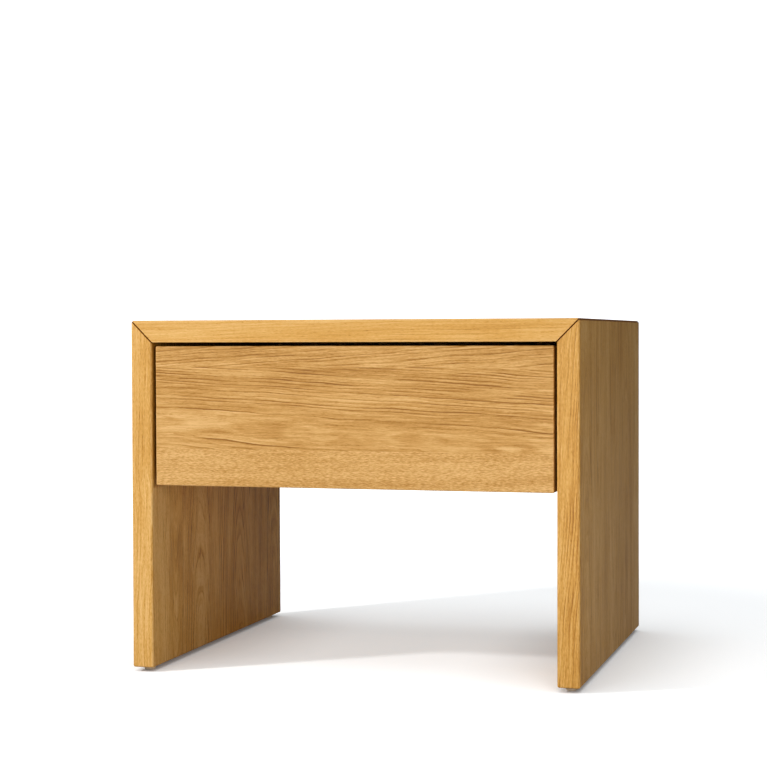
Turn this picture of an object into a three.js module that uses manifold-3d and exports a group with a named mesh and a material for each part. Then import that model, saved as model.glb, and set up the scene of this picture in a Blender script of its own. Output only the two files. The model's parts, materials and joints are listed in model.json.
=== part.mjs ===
// A bedside cabinet in solid oak: a top and two side panels joined by mitres into an open frame, and
// one drawer with no handle on concealed ball runners, opened by a finger groove behind its front.
// Millimetres, +Z up. The front faces -Y, and the origin is on the floor under the middle of the
// cabinet. Pieces that come in pairs are drawn once, at the left, and mirrored for the right.
import * as THREE from "three";
import { mergeVertices } from "three/addons/utils/BufferGeometryUtils.js";
import Module from "manifold-3d";

// Driving dimensions of the frame
const WIDTH = 515;
const DEPTH = 440;
const HEIGHT = 400;
const PANEL = 25;
const GLIDE_HEIGHT = 5;
const GLUE_GAP = 0.1;
const MITRE_GAP = 0.15;
const FRONT_Y = -DEPTH / 2;
const BACK_Y = DEPTH / 2;
const OUTER_X = WIDTH / 2;
const INNER_X = OUTER_X - PANEL;
const INNER_Z = HEIGHT - PANEL;

// The loose tongue glued across each mitre
const TONGUE = { thick: 4, wide: 18, long: 400, fromInside: 12, clearance: 0.25 };

// The back panel and the base panel under the drawer
const THIN_PANEL = 16;
const BACK_SETBACK = 3;
const BASE_Z = 216;
const BASE_FRONT_Y = -165;
const BASE_TOP_Z = BASE_Z + THIN_PANEL;
const BACK_FRONT_Y = BACK_Y - BACK_SETBACK - THIN_PANEL;

// Dowels through the butt joints at the side panels
const DOWEL = { radius: 4, long: 30, clearance: 0.15 };
const DOWEL_SITES = [
  { name: "base_dowel_front", y: -130, z: BASE_Z + THIN_PANEL / 2 },
  { name: "base_dowel_middle", y: 20, z: BASE_Z + THIN_PANEL / 2 },
  { name: "base_dowel_rear", y: 170, z: BASE_Z + THIN_PANEL / 2 },
  { name: "back_dowel_lower", y: BACK_FRONT_Y + THIN_PANEL / 2, z: 262 },
  { name: "back_dowel_upper", y: BACK_FRONT_Y + THIN_PANEL / 2, z: 342 },
];

// Glides nailed under the side panels
const GLIDE = { radius: 6.5, flatRadius: 5.1, edge: 1.4, holeRadius: 1.5, holeFloor: 2, setback: 20 };
const NAIL = { radius: 1.2, tipZ: 24, pointLong: 3, clearance: 0.2 };

// The drawer front
const FRONT_THICK = 22;
const FRONT_RECESS = 3;
const FRONT_SIDE_GAP = 3.5;
const FRONT_TOP_GAP = 4.2;
const FRONT_BOTTOM_Z = 213;
const FRONT_BACK_Y = FRONT_Y + FRONT_RECESS + FRONT_THICK;
const FINGER_GROOVE = { radius: 8, fromBottom: 16, halfLong: 188, sides: 20 };

// The drawer box, dovetailed at its corners
const BOX_GAP = 6;
const BOX_BOARD = 15;
const BOX_LONG = 340;
const BOX_BOTTOM_Z = BASE_TOP_Z + 14;
const BOX_HEIGHT = 100;
const BOX_TOP_Z = BOX_BOTTOM_Z + BOX_HEIGHT;
const BOX_OUTER_X = INNER_X - BOX_GAP;
const BOX_INNER_X = BOX_OUTER_X - BOX_BOARD;
const BOX_FRONT_Y = FRONT_BACK_Y + GLUE_GAP;
const BOX_BACK_Y = FRONT_BACK_Y + BOX_LONG;
const TAILS = 4;
const PIN_NARROW = 6;
const PIN_WIDE = 11;
const FLOOR_THICK = 6;
const FLOOR_Z = BOX_BOTTOM_Z + 13;
const FLOOR_GROOVE = 6;
const FLOOR_PLAY = 0.4;
const RUNNER_NOTCH = 42;

// The runners. A section is drawn in s, the distance in from the side panel's inner face, and z.
const SHEET = 1.2;
const BALL_RADIUS = 1.8;
const BALL_ROW_S = [25.1, 36.9];
const LOWER_BALL_Z = 240;
const UPPER_BALL_Z = 252;
const CAGE = { thick: 1.4, long: 124, balls: 4, pitch: 34, web: 0.9, overBall: 2.4, play: 0.5 };
const FIXED_RAIL_Y = [-190, 160];
const MIDDLE_RAIL_Y = [-172, 150];
const DRAWER_RAIL_Y = [-174, BOX_BACK_Y + 1.5];
const LOWER_CAGE_Y = -20;
const UPPER_CAGE_Y = -13;
const HOOK = { s: 31, z: 270.5, pinRadius: 2.3, halfWide: 3, topZ: 275, pinLong: 9 };
const RUNNER_SCREW_SITES = [
  { name: "runner_screw_front", y: -155 },
  { name: "runner_screw_middle", y: -27 },
  { name: "runner_screw_rear", y: 133 },
];
const RUNNER_SCREW_Z = 254;

// The clips that lock the drawer box to its rails
const CLIP = { s: [41, 76], y: [-179.6, -140], z: [247, 258.6], slotZ: [250, 254] };
const CLIP_NOSE = { s: [24, 42], y: [-179.6, -174.6], z: [248.5, 258.2] };
const LEVER = { s: 62, y: -158, radius: 4, reach: 33, angle: 0.915, thick: 3.4, pinRadius: 2 };
const CLIP_SCREW = { s: 47, z: 252.8, headY: -172 };

const SCREWS = {
  front: { shank: 2, long: 25, head: 4, headHigh: 2.6 },
  runner: { shank: 2.3, long: 14, head: 4.5, headHigh: 2 },
  clip: { shank: 1.6, long: 16, head: 3, headHigh: 2 },
};
const FRONT_SCREW_X = 140;
const FRONT_SCREW_Z = [284, 328];
const HOLE_PLAY = 0.3;
const SIDES = 12;

const material = (color, roughness, metalness = 0) =>
  new THREE.MeshStandardMaterial({ color, roughness, metalness });
const OAK = material(0xd9a55c, 0.55);
const DRAWER_OAK = material(0xdcb277, 0.6);
const OAK_PLY = material(0xd8b27c, 0.6);
const BEECH = material(0xd9b48a, 0.7);
const ZINC_STEEL = material(0xb9bcc0, 0.35, 0.9);
const CAGE_PLASTIC = material(0xe6e4dc, 0.45);
const CLIP_PLASTIC = material(0x55585c, 0.5);
const GLIDE_PLASTIC = material(0x8a7660, 0.5);

const wasm = await Module();
wasm.setup();

// A closed geometry as a manifold-3d solid, for cutting and joining.
function solidOf(geometry) {
  const bare = geometry.clone();
  bare.deleteAttribute("normal");
  bare.deleteAttribute("uv");
  const merged = mergeVertices(bare, 1e-4);
  const mesh = new wasm.Mesh({
    numProp: 3,
    vertProperties: merged.attributes.position.array,
    triVerts: new Uint32Array(merged.index.array),
  });
  return new wasm.Manifold(mesh);
}

function geometryOf(solid) {
  const { vertProperties, triVerts } = solid.getMesh();
  const shared = new THREE.BufferGeometry();
  shared.setAttribute("position", new THREE.BufferAttribute(vertProperties, 3));
  shared.setIndex(new THREE.BufferAttribute(triVerts, 1));
  const flat = shared.toNonIndexed();
  flat.computeVertexNormals();
  return flat;
}

const cut = (geometry, tools) =>
  geometryOf(tools.reduce((rest, tool) => rest.subtract(solidOf(tool)), solidOf(geometry)));

const join = (geometries) =>
  geometryOf(geometries.map(solidOf).reduce((whole, piece) => whole.add(piece)));

// A box from its spans along X, Y and Z.
function box(x, y, z) {
  const geometry = new THREE.BoxGeometry(x[1] - x[0], y[1] - y[0], z[1] - z[0]);
  return geometry.translate((x[0] + x[1]) / 2, (y[0] + y[1]) / 2, (z[0] + z[1]) / 2);
}

const UNIT = {
  x: new THREE.Vector3(1, 0, 0),
  y: new THREE.Vector3(0, 1, 0),
  z: new THREE.Vector3(0, 0, 1),
  back: new THREE.Vector3(0, -1, 0),
};

function extrude(points, depth) {
  const shape = new THREE.Shape(points.map(([u, v]) => new THREE.Vector2(u, v)));
  return new THREE.ExtrudeGeometry(shape, { depth, bevelEnabled: false });
}

// An outline of [x, z] points, carried along Y.
function prismAlongY(points, y) {
  const turn = new THREE.Matrix4().makeBasis(UNIT.x, UNIT.z, UNIT.back);
  return extrude(points, y[1] - y[0]).applyMatrix4(turn).translate(0, y[1], 0);
}

// An outline of [y, z] points, carried along X.
function prismAlongX(points, x) {
  const turn = new THREE.Matrix4().makeBasis(UNIT.y, UNIT.z, UNIT.x);
  return extrude(points, x[1] - x[0]).applyMatrix4(turn).translate(x[0], 0, 0);
}

// A round bar along one axis: centre is the other two coordinates, in X, Y, Z order.
function bar(axis, radius, span, centre) {
  const length = span[1] - span[0];
  const middle = (span[0] + span[1]) / 2;
  const geometry = new THREE.CylinderGeometry(radius, radius, length, SIDES);
  if (axis === "x") return geometry.rotateZ(Math.PI / 2).translate(middle, centre[0], centre[1]);
  if (axis === "y") return geometry.translate(centre[0], middle, centre[1]);
  return geometry.rotateX(Math.PI / 2).translate(centre[0], centre[1], middle);
}

const lathe = (profile) =>
  new THREE.LatheGeometry(profile.map(([r, h]) => new THREE.Vector2(r, h)), SIDES);

// The x of a distance s in from the left side panel's inner face, and an outline of such points.
const atLeft = (s) => s - INNER_X;
const section = (points) => points.map(([s, z]) => [atLeft(s), z]);

const bothSides = (tool) => [tool(-1), tool(1)];

function add(group, name, geometry, look) {
  const mesh = new THREE.Mesh(geometry, look);
  mesh.name = name;
  group.add(mesh);
  return mesh;
}

// --- Frame panels

function tongueCentre() {
  const along = TONGUE.fromInside / Math.SQRT2;
  return new THREE.Vector3(-INNER_X - along, 0, INNER_Z + along);
}

const tongueGeometry = (play) =>
  new THREE.BoxGeometry(TONGUE.wide + 2 * play, TONGUE.long + 2 * play, TONGUE.thick + 2 * play);

// The tongue lies square to the mitre, so it is turned by 45 degrees.
function tongueSlot(sign) {
  const centre = tongueCentre();
  return tongueGeometry(TONGUE.clearance)
    .rotateY((sign * Math.PI) / 4)
    .translate(sign * centre.x, 0, centre.z);
}

function topPanel() {
  const outline = [
    [-OUTER_X + MITRE_GAP, HEIGHT],
    [OUTER_X - MITRE_GAP, HEIGHT],
    [INNER_X - MITRE_GAP, INNER_Z],
    [-INNER_X + MITRE_GAP, INNER_Z],
  ];
  const slots = [tongueSlot(1), tongueSlot(-1)];
  return cut(prismAlongY(outline, [FRONT_Y, BACK_Y]), slots);
}

function dowelHole(site, sign) {
  const half = DOWEL.long / 2 + DOWEL.clearance;
  const span = [sign * INNER_X - half, sign * INNER_X + half];
  return bar("x", DOWEL.radius + DOWEL.clearance, span, [site.y, site.z]);
}

function leftSidePanel() {
  const outline = [
    [-OUTER_X, GLIDE_HEIGHT],
    [-INNER_X, GLIDE_HEIGHT],
    [-INNER_X, INNER_Z - MITRE_GAP],
    [-OUTER_X, HEIGHT - MITRE_GAP],
  ];
  const screw = SCREWS.runner;
  const screwSpan = [atLeft(-screw.long - HOLE_PLAY), atLeft(1)];
  const screwHoles = RUNNER_SCREW_SITES.map((site) =>
    bar("x", screw.shank + HOLE_PLAY, screwSpan, [site.y, RUNNER_SCREW_Z]));
  const nailSpan = [GLIDE_HEIGHT - 1, NAIL.tipZ + NAIL.clearance];
  const nailHoles = glideSites().map((site) =>
    bar("z", NAIL.radius + NAIL.clearance, nailSpan, [site.x, site.y]));
  const dowelHoles = DOWEL_SITES.map((site) => dowelHole(site, -1));
  const tools = [tongueSlot(1), ...dowelHoles, ...screwHoles, ...nailHoles];
  return cut(prismAlongY(outline, [FRONT_Y, BACK_Y]), tools);
}

function crossPanel(y, z, dowels) {
  const x = [-INNER_X + GLUE_GAP, INNER_X - GLUE_GAP];
  const sites = DOWEL_SITES.filter((site) => site.name.startsWith(dowels));
  const holes = sites.flatMap((site) => bothSides((sign) => dowelHole(site, sign)));
  return cut(box(x, y, z), holes);
}

const basePanel = () =>
  crossPanel([BASE_FRONT_Y, BACK_FRONT_Y - GLUE_GAP], [BASE_Z, BASE_TOP_Z], "base");

const backPanel = () =>
  crossPanel([BACK_FRONT_Y, BACK_Y - BACK_SETBACK], [BASE_Z, INNER_Z - GLUE_GAP], "back");

// --- Glides, nails, dowels and screws

function glideSites() {
  const x = -(OUTER_X - PANEL / 2);
  return [
    { name: "front", x, y: FRONT_Y + GLIDE.setback },
    { name: "rear", x, y: BACK_Y - GLIDE.setback },
  ];
}

// A disc with a rounded foot and a blind hole that holds the nail. It stands along Y, to be turned.
function glideGeometry() {
  const top = GLIDE_HEIGHT - GLUE_GAP;
  return lathe([
    [0, 0],
    [GLIDE.flatRadius, 0],
    [GLIDE.radius, GLIDE.edge],
    [GLIDE.radius, top],
    [GLIDE.holeRadius, top],
    [GLIDE.holeRadius, GLIDE.holeFloor],
    [0, GLIDE.holeFloor],
  ]);
}

function nailGeometry() {
  const start = GLIDE.holeFloor + GLUE_GAP;
  return lathe([
    [0, start],
    [NAIL.radius, start],
    [NAIL.radius, NAIL.tipZ - NAIL.pointLong],
    [0, NAIL.tipZ],
  ]);
}

// A pan-head screw along Y, its tip towards -Y and the underside of its head at 0.
function screwGeometry({ shank, long, head, headHigh }) {
  return lathe([
    [0, -long],
    [shank, -long + 2 * shank],
    [shank, 0],
    [head, 0],
    [head, headHigh / 2],
    [0.65 * head, headHigh],
    [0, headHigh],
  ]);
}

function addGlides(group, hand) {
  for (const site of glideSites()) {
    const pieces = [
      add(group, `${hand}_glide_${site.name}`, glideGeometry(), GLIDE_PLASTIC),
      add(group, `${hand}_glide_nail_${site.name}`, nailGeometry(), ZINC_STEEL),
    ];
    for (const piece of pieces) {
      piece.rotation.x = Math.PI / 2;
      piece.position.set(site.x, site.y, 0);
    }
  }
}

function addDowels(group, hand) {
  for (const site of DOWEL_SITES) {
    const geometry = new THREE.CylinderGeometry(DOWEL.radius, DOWEL.radius, DOWEL.long, SIDES);
    const dowel = add(group, `${hand}_${site.name}`, geometry, BEECH);
    dowel.rotation.z = Math.PI / 2;
    dowel.position.set(-INNER_X, site.y, site.z);
  }
}

// --- Drawer

function drawerFront() {
  const x = [-INNER_X + FRONT_SIDE_GAP, INNER_X - FRONT_SIDE_GAP];
  const blank = box(x, [FRONT_Y + FRONT_RECESS, FRONT_BACK_Y],
    [FRONT_BOTTOM_Z, INNER_Z - FRONT_TOP_GAP]);
  const { radius, fromBottom, halfLong, sides } = FINGER_GROOVE;
  const groove = new THREE.CylinderGeometry(radius, radius, 2 * halfLong, sides)
    .rotateZ(Math.PI / 2)
    .translate(0, FRONT_BACK_Y, FRONT_BOTTOM_Z + fromBottom);
  return cut(blank, [groove, ...frontScrewHoles()]);
}

function frontScrewSites() {
  return bothSides((sign) => sign * FRONT_SCREW_X)
    .flatMap((x) => FRONT_SCREW_Z.map((z) => ({ x, z })));
}

function frontScrewHoles() {
  const boardBack = BOX_FRONT_Y + BOX_BOARD;
  const span = [boardBack - SCREWS.front.long - HOLE_PLAY, boardBack + 1];
  return frontScrewSites().map(({ x, z }) => bar("y", SCREWS.front.shank + HOLE_PLAY, span, [x, z]));
}

// The dovetail pins of one corner, narrow at the board's outer face. With some play they are a
// little larger all round, and cut the sockets for the pins themselves. The rear corners have no
// lowest pin, for the runners pass there.
function dovetailPins(outerY, innerY, x, play) {
  const pitch = BOX_HEIGHT / TAILS;
  const lowest = outerY > 0 ? 1 : 0;
  const pins = [];
  for (let i = lowest; i <= TAILS; i++) {
    const z = BOX_BOTTOM_Z + i * pitch;
    const clamp = (value) => Math.min(Math.max(value, BOX_BOTTOM_Z - play), BOX_TOP_Z + play);
    const narrow = PIN_NARROW / 2 + play;
    const wide = PIN_WIDE / 2 + play;
    const outline = [
      [outerY, clamp(z - narrow)],
      [innerY, clamp(z - wide)],
      [innerY, clamp(z + wide)],
      [outerY, clamp(z + narrow)],
    ];
    pins.push(prismAlongX(outline, x));
  }
  return pins;
}

function floorSlot() {
  const edge = BOX_INNER_X + FLOOR_GROOVE;
  const y = [BOX_FRONT_Y + BOX_BOARD - FLOOR_GROOVE, BOX_BACK_Y - BOX_BOARD + FLOOR_GROOVE];
  return box([-edge, edge], y, [FLOOR_Z, FLOOR_Z + FLOOR_THICK]);
}

function drawerFloor() {
  const edge = BOX_INNER_X + FLOOR_GROOVE - FLOOR_PLAY;
  const reach = FLOOR_GROOVE - FLOOR_PLAY;
  const y = [BOX_FRONT_Y + BOX_BOARD - reach, BOX_BACK_Y - BOX_BOARD + reach];
  return box([-edge, edge], y, [FLOOR_Z + GLUE_GAP, FLOOR_Z + FLOOR_THICK - GLUE_GAP]);
}

// A board across the drawer, with the pins at both of its ends.
function crossBoard(outerY, innerY) {
  const y = [Math.min(outerY, innerY), Math.max(outerY, innerY)];
  const core = box([-BOX_INNER_X, BOX_INNER_X], y, [BOX_BOTTOM_Z, BOX_TOP_Z]);
  const left = dovetailPins(outerY, innerY, [-BOX_OUTER_X, -BOX_INNER_X], 0);
  const right = dovetailPins(outerY, innerY, [BOX_INNER_X, BOX_OUTER_X], 0);
  return join([core, ...left, ...right]);
}

function boxFrontBoard() {
  const board = crossBoard(BOX_FRONT_Y, BOX_FRONT_Y + BOX_BOARD);
  const boardBack = BOX_FRONT_Y + BOX_BOARD;
  const { shank, long } = SCREWS.clip;
  const span = [CLIP_SCREW.headY - long - HOLE_PLAY, boardBack + 1];
  const clipHoles = bothSides((sign) =>
    bar("y", shank + HOLE_PLAY, span, [sign * atLeft(CLIP_SCREW.s), CLIP_SCREW.z]));
  return cut(board, [floorSlot(), ...frontScrewHoles(), ...clipHoles]);
}

function boxBackBoard() {
  const innerY = BOX_BACK_Y - BOX_BOARD;
  const board = crossBoard(BOX_BACK_Y, innerY);
  const notchEnd = INNER_X - RUNNER_NOTCH;
  const y = [innerY - 1, BOX_BACK_Y + 1];
  const z = [BOX_BOTTOM_Z - 1, FLOOR_Z];
  const notches = [
    box([-BOX_INNER_X, -notchEnd], y, z),
    box([notchEnd, BOX_INNER_X], y, z),
  ];
  const hookHoles = bothSides((sign) =>
    bar("y", HOOK.pinRadius + HOLE_PLAY, y, [sign * atLeft(HOOK.s), HOOK.z]));
  return cut(board, [floorSlot(), ...notches, ...hookHoles]);
}

function leftBoxSide() {
  const x = [-BOX_OUTER_X, -BOX_INNER_X - GLUE_GAP];
  const blank = box(x, [BOX_FRONT_Y, BOX_BACK_Y], [BOX_BOTTOM_Z, BOX_TOP_Z]);
  const through = [x[0] - 1, x[1] + 1];
  const sockets = [
    ...dovetailPins(BOX_FRONT_Y, BOX_FRONT_Y + BOX_BOARD + GLUE_GAP, through, GLUE_GAP),
    ...dovetailPins(BOX_BACK_Y, BOX_BACK_Y - BOX_BOARD - GLUE_GAP, through, GLUE_GAP),
  ];
  return cut(blank, [floorSlot(), ...sockets]);
}

// --- Runners

const WALL_S = [BALL_ROW_S[0] - BALL_RADIUS - 0.1, BALL_ROW_S[1] + BALL_RADIUS + 0.1];
const LEG_S = [BALL_ROW_S[0] + BALL_RADIUS + 0.1, BALL_ROW_S[1] - BALL_RADIUS - 0.1];
const RAIL_FOOT_Z = BASE_TOP_Z + 2;
const RAIL_TOP_Z = FLOOR_Z - 0.2;
const FLANGE_Z = BOX_BOTTOM_Z - GLUE_GAP;
const FLANGE_TOP_Z = 262;

// A flange on the side panel, a foot under the drawer and an upright channel for the lower balls.
function fixedRail() {
  const [outer, inner] = WALL_S;
  const foot = RAIL_FOOT_Z + SHEET;
  const profile = section([
    [GLUE_GAP, FLANGE_TOP_Z],
    [GLUE_GAP, RAIL_FOOT_Z],
    [inner + SHEET, RAIL_FOOT_Z],
    [inner + SHEET, 245.5],
    [inner, 245.5],
    [inner, foot],
    [outer, foot],
    [outer, 243.2],
    [outer - SHEET, 243.2],
    [outer - SHEET, foot],
    [GLUE_GAP + SHEET, foot],
    [GLUE_GAP + SHEET, FLANGE_TOP_Z],
  ]);
  const through = [atLeft(-1), atLeft(3)];
  const holes = RUNNER_SCREW_SITES.map((site) =>
    bar("x", SCREWS.runner.shank + HOLE_PLAY, through, [site.y, RUNNER_SCREW_Z]));
  return cut(prismAlongY(profile, FIXED_RAIL_Y), holes);
}

// An H that hangs between the two channels, with balls on the outside of all four legs.
function middleRail() {
  const [left, right] = LEG_S;
  const legFoot = 237;
  const legTop = 255.8;
  const web = [245.8, 245.8 + SHEET];
  const profile = section([
    [left, legFoot],
    [left + SHEET, legFoot],
    [left + SHEET, web[0]],
    [right - SHEET, web[0]],
    [right - SHEET, legFoot],
    [right, legFoot],
    [right, legTop],
    [right - SHEET, legTop],
    [right - SHEET, web[1]],
    [left + SHEET, web[1]],
    [left + SHEET, legTop],
    [left, legTop],
  ]);
  return prismAlongY(profile, MIDDLE_RAIL_Y);
}

// An inverted channel over the upper balls, a flange that carries the drawer's side, and a hook.
function drawerRail() {
  const [outer, inner] = WALL_S;
  const profile = section([
    [BOX_GAP + 0.5, FLANGE_Z - SHEET],
    [outer, FLANGE_Z - SHEET],
    [outer, RAIL_TOP_Z - SHEET],
    [inner, RAIL_TOP_Z - SHEET],
    [inner, 247],
    [inner + SHEET, 247],
    [inner + SHEET, RAIL_TOP_Z],
    [outer - SHEET, RAIL_TOP_Z],
    [outer - SHEET, FLANGE_Z],
    [BOX_GAP + 0.5, FLANGE_Z],
  ]);
  const rear = DRAWER_RAIL_Y[1];
  const tabX = [atLeft(HOOK.s - HOOK.halfWide), atLeft(HOOK.s + HOOK.halfWide)];
  const tab = box(tabX, [rear - SHEET, rear], [RAIL_TOP_Z - SHEET, HOOK.topZ]);
  const pinSpan = [rear - SHEET / 2 - HOOK.pinLong, rear - SHEET / 2];
  const pin = bar("y", HOOK.pinRadius, pinSpan, [atLeft(HOOK.s), HOOK.z]);
  return join([prismAlongY(profile, DRAWER_RAIL_Y), tab, pin]);
}

// Two strips that hold the balls, joined by a web: under the legs if lower, over them if not.
function ballCage(middleY, ballZ, webZ, farZ) {
  const half = CAGE.thick / 2;
  const y = [middleY - CAGE.long / 2, middleY + CAGE.long / 2];
  const span = [Math.min(webZ[0], farZ), Math.max(webZ[1], farZ)];
  const strips = BALL_ROW_S.map((s) => box([atLeft(s - half), atLeft(s + half)], y, span));
  const web = box([atLeft(BALL_ROW_S[0] - half), atLeft(BALL_ROW_S[1] + half)], y, webZ);
  const balls = [];
  for (const s of BALL_ROW_S) {
    for (let i = 0; i < CAGE.balls; i++) {
      const ballY = middleY + (i - (CAGE.balls - 1) / 2) * CAGE.pitch;
      const ball = new THREE.SphereGeometry(BALL_RADIUS, 8, 4);
      balls.push(ball.translate(atLeft(s), ballY, ballZ));
    }
  }
  return join([...strips, web, ...balls]);
}

function lowerCage() {
  const webFoot = RAIL_FOOT_Z + SHEET + CAGE.play;
  const web = [webFoot, webFoot + CAGE.web];
  return ballCage(LOWER_CAGE_Y, LOWER_BALL_Z, web, LOWER_BALL_Z + CAGE.overBall);
}

function upperCage() {
  const webTop = RAIL_TOP_Z - SHEET - CAGE.play;
  const web = [webTop - CAGE.web, webTop];
  return ballCage(UPPER_CAGE_Y, UPPER_BALL_Z, web, UPPER_BALL_Z - CAGE.overBall);
}

function addRunner(group, hand) {
  add(group, `${hand}_fixed_rail`, fixedRail(), ZINC_STEEL);
  add(group, `${hand}_middle_rail`, middleRail(), ZINC_STEEL);
  add(group, `${hand}_drawer_rail`, drawerRail(), ZINC_STEEL);
  add(group, `${hand}_lower_ball_cage`, lowerCage(), CAGE_PLASTIC);
  add(group, `${hand}_upper_ball_cage`, upperCage(), CAGE_PLASTIC);
  for (const site of RUNNER_SCREW_SITES) {
    const screw = add(group, `${hand}_${site.name}`, screwGeometry(SCREWS.runner), ZINC_STEEL);
    screw.rotation.z = -Math.PI / 2;
    screw.position.set(atLeft(2 * GLUE_GAP + SHEET), site.y, RUNNER_SCREW_Z);
  }
}

// --- Clips

const spanAtLeft = (s) => [atLeft(s[0]), atLeft(s[1])];

function clipHousing() {
  const block = box(spanAtLeft(CLIP.s), CLIP.y, CLIP.z);
  const nose = box(spanAtLeft(CLIP_NOSE.s), CLIP_NOSE.y, CLIP_NOSE.z);
  const slotX = [atLeft(LEVER.s - 10), atLeft(CLIP.s[1] + 1)];
  const slot = box(slotX, [LEVER.y - 10, CLIP.y[1] + 1], CLIP.slotZ);
  const pinHole = bar("z", LEVER.pinRadius + HOLE_PLAY / 2, [CLIP.z[0] - 1, CLIP.z[1] + 1],
    [atLeft(LEVER.s), LEVER.y]);
  const site = [atLeft(CLIP_SCREW.s), CLIP_SCREW.z];
  const headBore = bar("y", SCREWS.clip.head + HOLE_PLAY,
    [CLIP_SCREW.headY - GLUE_GAP, CLIP.y[1] + 1], site);
  const shankBore = bar("y", SCREWS.clip.shank + HOLE_PLAY,
    [CLIP.y[0] - 1, CLIP_SCREW.headY], site);
  return cut(join([block, nose]), [slot, pinHole, headBore, shankBore]);
}

// A bar with round ends and an eye for the pin, flat in the clip's slot.
function leverGeometry() {
  const { radius, reach, thick, pinRadius } = LEVER;
  const shape = new THREE.Shape();
  shape.absarc(0, 0, radius, Math.PI / 2, (3 * Math.PI) / 2);
  shape.absarc(reach, 0, radius, -Math.PI / 2, Math.PI / 2);
  shape.closePath();
  const eye = new THREE.Path();
  eye.absarc(0, 0, pinRadius + HOLE_PLAY / 2, 0, 2 * Math.PI);
  shape.holes.push(eye);
  const settings = { depth: thick, bevelEnabled: false, curveSegments: SIDES / 2 };
  return new THREE.ExtrudeGeometry(shape, settings).translate(0, 0, -thick / 2);
}

function addClip(group, hand) {
  add(group, `${hand}_clip_housing`, clipHousing(), CLIP_PLASTIC);
  const lever = add(group, `${hand}_release_lever`, leverGeometry(), GLIDE_PLASTIC);
  lever.rotation.z = LEVER.angle;
  lever.position.set(atLeft(LEVER.s), LEVER.y, (CLIP.slotZ[0] + CLIP.slotZ[1]) / 2);
  const pinSpan = [CLIP.z[0] + 0.4, CLIP.z[1] - 0.4];
  const pin = bar("z", LEVER.pinRadius, pinSpan, [atLeft(LEVER.s), LEVER.y]);
  add(group, `${hand}_lever_pin`, pin, ZINC_STEEL);
  const screw = add(group, `${hand}_clip_screw`, screwGeometry(SCREWS.clip), ZINC_STEEL);
  screw.position.set(atLeft(CLIP_SCREW.s), CLIP_SCREW.headY, CLIP_SCREW.z);
}

// --- Assembly

const cabinet = new THREE.Group();
const frame = new THREE.Group();
const drawer = new THREE.Group();
cabinet.add(frame, drawer);

add(frame, "top_panel", topPanel(), OAK);
add(frame, "base_panel", basePanel(), OAK);
add(frame, "back_panel", backPanel(), OAK);
add(drawer, "drawer_front", drawerFront(), OAK);
add(drawer, "drawer_box_front", boxFrontBoard(), DRAWER_OAK);
add(drawer, "drawer_box_back", boxBackBoard(), DRAWER_OAK);
add(drawer, "drawer_floor", drawerFloor(), OAK_PLY);

const screwNames = ["left_lower", "left_upper", "right_lower", "right_upper"];
frontScrewSites().forEach((site, i) => {
  const name = `front_screw_${screwNames[i]}`;
  const screw = add(drawer, name, screwGeometry(SCREWS.front), ZINC_STEEL);
  screw.position.set(site.x, BOX_FRONT_Y + BOX_BOARD + GLUE_GAP, site.z);
});

for (const [hand, sign] of [["left", 1], ["right", -1]]) {
  const side = new THREE.Group();
  side.scale.x = sign;
  cabinet.add(side);
  add(side, `${hand}_side_panel`, leftSidePanel(), OAK);
  const tongue = add(side, `${hand}_mitre_tongue`, tongueGeometry(0), BEECH);
  tongue.rotation.y = Math.PI / 4;
  tongue.position.copy(tongueCentre());
  add(side, `${hand}_drawer_side`, leftBoxSide(), DRAWER_OAK);
  addGlides(side, hand);
  addDowels(side, hand);
  addRunner(side, hand);
  addClip(side, hand);
}

export default cabinet;
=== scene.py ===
"""The looks of the oak bedside cabinet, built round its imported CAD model.

Metres, in the CAD model's frame: +X right, +Y to the back, +Z up, floor at 0. Sizes that are easier
to read in millimetres are multiplied by MM. Every board keeps its vertices in that frame, so its
solid wood texture stays put when the board moves.
"""
import json
import math
import random
from collections import namedtuple

import bmesh
import bpy
from mathutils import Matrix, Vector


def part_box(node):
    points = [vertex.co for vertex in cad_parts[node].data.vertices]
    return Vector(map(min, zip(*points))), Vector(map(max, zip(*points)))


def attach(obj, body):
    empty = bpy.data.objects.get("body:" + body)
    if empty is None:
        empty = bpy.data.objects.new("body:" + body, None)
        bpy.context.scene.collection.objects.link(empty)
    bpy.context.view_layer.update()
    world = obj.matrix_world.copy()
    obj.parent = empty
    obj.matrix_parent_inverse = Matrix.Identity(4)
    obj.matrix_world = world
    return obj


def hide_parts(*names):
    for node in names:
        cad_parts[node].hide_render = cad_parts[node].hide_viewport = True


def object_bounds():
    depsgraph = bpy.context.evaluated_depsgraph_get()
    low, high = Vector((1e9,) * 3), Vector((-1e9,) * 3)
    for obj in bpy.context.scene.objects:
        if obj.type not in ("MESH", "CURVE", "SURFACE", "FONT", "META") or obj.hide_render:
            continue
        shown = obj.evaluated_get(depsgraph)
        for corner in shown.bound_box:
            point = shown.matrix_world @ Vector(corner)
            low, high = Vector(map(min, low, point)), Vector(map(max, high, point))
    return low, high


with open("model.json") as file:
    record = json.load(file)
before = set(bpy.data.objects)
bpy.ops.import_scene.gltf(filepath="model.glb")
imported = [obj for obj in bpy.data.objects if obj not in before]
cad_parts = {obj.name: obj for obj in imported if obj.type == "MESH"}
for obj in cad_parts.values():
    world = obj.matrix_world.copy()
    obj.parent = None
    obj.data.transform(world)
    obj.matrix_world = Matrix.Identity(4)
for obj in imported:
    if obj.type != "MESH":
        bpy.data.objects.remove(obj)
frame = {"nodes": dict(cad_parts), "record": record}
CAD_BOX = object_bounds()
NODES = frame["nodes"]
MM = 0.001
X, Y, Z = 0, 1, 2


# --- Shader graphs

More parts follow.
